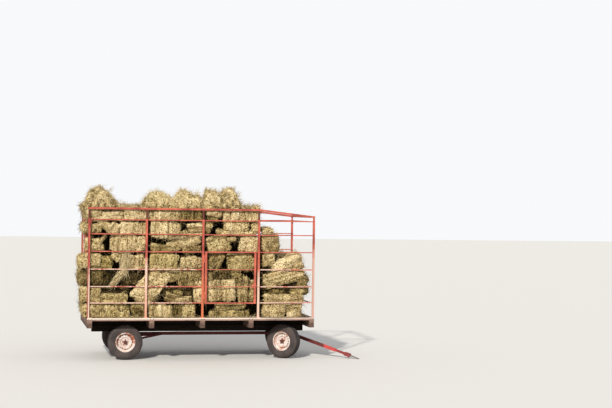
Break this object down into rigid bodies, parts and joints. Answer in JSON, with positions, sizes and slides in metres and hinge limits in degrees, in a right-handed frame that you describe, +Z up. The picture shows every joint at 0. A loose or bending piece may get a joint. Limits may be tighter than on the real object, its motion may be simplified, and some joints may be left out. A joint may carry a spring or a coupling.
{
  "type": "hay wagon",
  "caption": "Four-wheeled farm wagon with a high barred bale rack, side door, steering tongue and a stacked load of hay bales.",
  "frame": {"origin": "on the ground, on the centreline, halfway between the rearmost bales and the hitch tip", "axes": "+X forward towards the tongue, +Y to the wagon's left, +Z up"},
  "size_m": [6.1545, 2.44, 3.725],
  "materials": {
    "rack_paint": "weathered red paint, faded and rusty at the feet",
    "gear_paint": "dull dark red paint",
    "wheel_paint": "cream paint with rust",
    "hub_paint": "dull red-brown paint",
    "worn_steel": "worn bare steel",
    "tyre_rubber": "dusty rubber",
    "frame_timber": "weathered timber",
    "edge_timber": "weathered timber with old paint",
    "hay": "dry hay"
  },
  "bodies": {
    "wagon": {"bales_tier_1": "hay", "bales_tier_2": "hay", "bales_tier_3": "hay", "bales_tier_4": "hay", "bales_tier_5": "hay", "bales_tier_6": "hay", "bales_tier_7": "hay", "bales_top": "hay", "bolster_stakes": "gear_paint", "bolsters": "gear_paint", "cross_beams": "frame_timber", "deck_planks": "frame_timber", "door_hinges": "rack_paint", "edge_boards": "edge_timber", "front_axle": "gear_paint", "front_hounds": "gear_paint", "front_rails": "rack_paint", "hay_core": "hay", "kingpins": "worn_steel", "latch_rest": "rack_paint", "left_posts": "rack_paint", "left_side_rails": "rack_paint", "left_top_rail": "rack_paint", "main_sills": "frame_timber", "post_feet": "rack_paint", "reach_pole": "gear_paint", "rear_axle": "gear_paint", "rear_frame": "rack_paint", "rear_hounds": "gear_paint", "rear_rails": "rack_paint", "right_posts": "rack_paint", "right_side_rails": "rack_paint", "right_top_rail": "rack_paint"},
    "steering": {"steering_plate": "gear_paint", "tongue_pin": "worn_steel"},
    "tongue": {"tongue_tube": "gear_paint", "tongue_bar": "gear_paint", "hitch_head": "gear_paint", "hitch_tip": "worn_steel"},
    "right_knuckle": {"right_knuckle": "gear_paint"},
    "left_knuckle": {"left_knuckle": "gear_paint"},
    "right_tie_rod": {"right_tie_rod": "gear_paint"},
    "left_tie_rod": {"left_tie_rod": "gear_paint"},
    "side_door": {"door_frame": "rack_paint", "door_rods": "rack_paint", "door_leaves": "rack_paint", "door_latch": "rack_paint"},
    "rear_right_wheel": {"rear_right_tyre": "tyre_rubber", "rear_right_rim": "wheel_paint", "rear_right_hub": "hub_paint"},
    "rear_left_wheel": {"rear_left_tyre": "tyre_rubber", "rear_left_rim": "wheel_paint", "rear_left_hub": "hub_paint"},
    "front_right_wheel": {"front_right_tyre": "tyre_rubber", "front_right_rim": "wheel_paint", "front_right_hub": "hub_paint"},
    "front_left_wheel": {"front_left_tyre": "tyre_rubber", "front_left_rim": "wheel_paint", "front_left_hub": "hub_paint"}
  },
  "joints": [
    {"name": "rear_right_wheel_spin", "type": "hinge", "parent": "wagon", "child": "rear_right_wheel", "pos_m": [-2.0112, -0.82, 0.375], "axis": [0, 1, 0], "continuous": true},
    {"name": "rear_left_wheel_spin", "type": "hinge", "parent": "wagon", "child": "rear_left_wheel", "pos_m": [-2.0112, 0.82, 0.375], "axis": [0, 1, 0], "continuous": true},
    {"name": "tongue_swing", "type": "hinge", "parent": "wagon", "child": "steering", "pos_m": [1.5738, 0, 0.406], "axis": [0, 0, 1], "range_deg": [-2, 78]},
    {"name": "tongue_lift", "type": "hinge", "parent": "steering", "child": "tongue", "pos_m": [1.78262, -0.16315, 0.465], "axis": [-0.6157, -0.788, 0], "range_deg": [0, 35]},
    {"name": "right_knuckle_turn", "type": "hinge", "parent": "wagon", "child": "right_knuckle", "pos_m": [1.5738, -0.62, 0.465], "axis": [0, 0, 1], "range_deg": [-2, 78]},
    {"name": "right_tie_rod_swing", "type": "hinge", "parent": "steering", "child": "right_tie_rod", "pos_m": [1.67624, -0.08004, 0.406], "axis": [0, 0, 1], "range_deg": [-78, 2]},
    {"name": "front_right_wheel_spin", "type": "hinge", "parent": "right_knuckle", "child": "front_right_wheel", "pos_m": [1.45067, -0.7776, 0.375], "axis": [0.6157, 0.788, 0], "continuous": true},
    {"name": "left_knuckle_turn", "type": "hinge", "parent": "wagon", "child": "left_knuckle", "pos_m": [1.5738, 0.62, 0.465], "axis": [0, 0, 1], "range_deg": [-2, 78]},
    {"name": "left_tie_rod_swing", "type": "hinge", "parent": "steering", "child": "left_tie_rod", "pos_m": [1.67624, -0.08004, 0.406], "axis": [0, 0, 1], "range_deg": [-78, 2]},
    {"name": "front_left_wheel_spin", "type": "hinge", "parent": "left_knuckle", "child": "front_left_wheel", "pos_m": [1.69693, 0.7776, 0.375], "axis": [0.6157, 0.788, 0], "continuous": true},
    {"name": "side_door_swing", "type": "hinge", "parent": "wagon", "child": "side_door", "pos_m": [-0.3732, -1.207, 1.7], "axis": [0, 0, -1], "range_deg": [0, 165]}
  ],
  "couplings": [
    {"joint": "right_knuckle_turn", "follows": "tongue_swing", "ratio": 1},
    {"joint": "left_knuckle_turn", "follows": "tongue_swing", "ratio": 1},
    {"joint": "right_tie_rod_swing", "follows": "tongue_swing", "ratio": -1},
    {"joint": "left_tie_rod_swing", "follows": "tongue_swing", "ratio": -1}
  ]
}
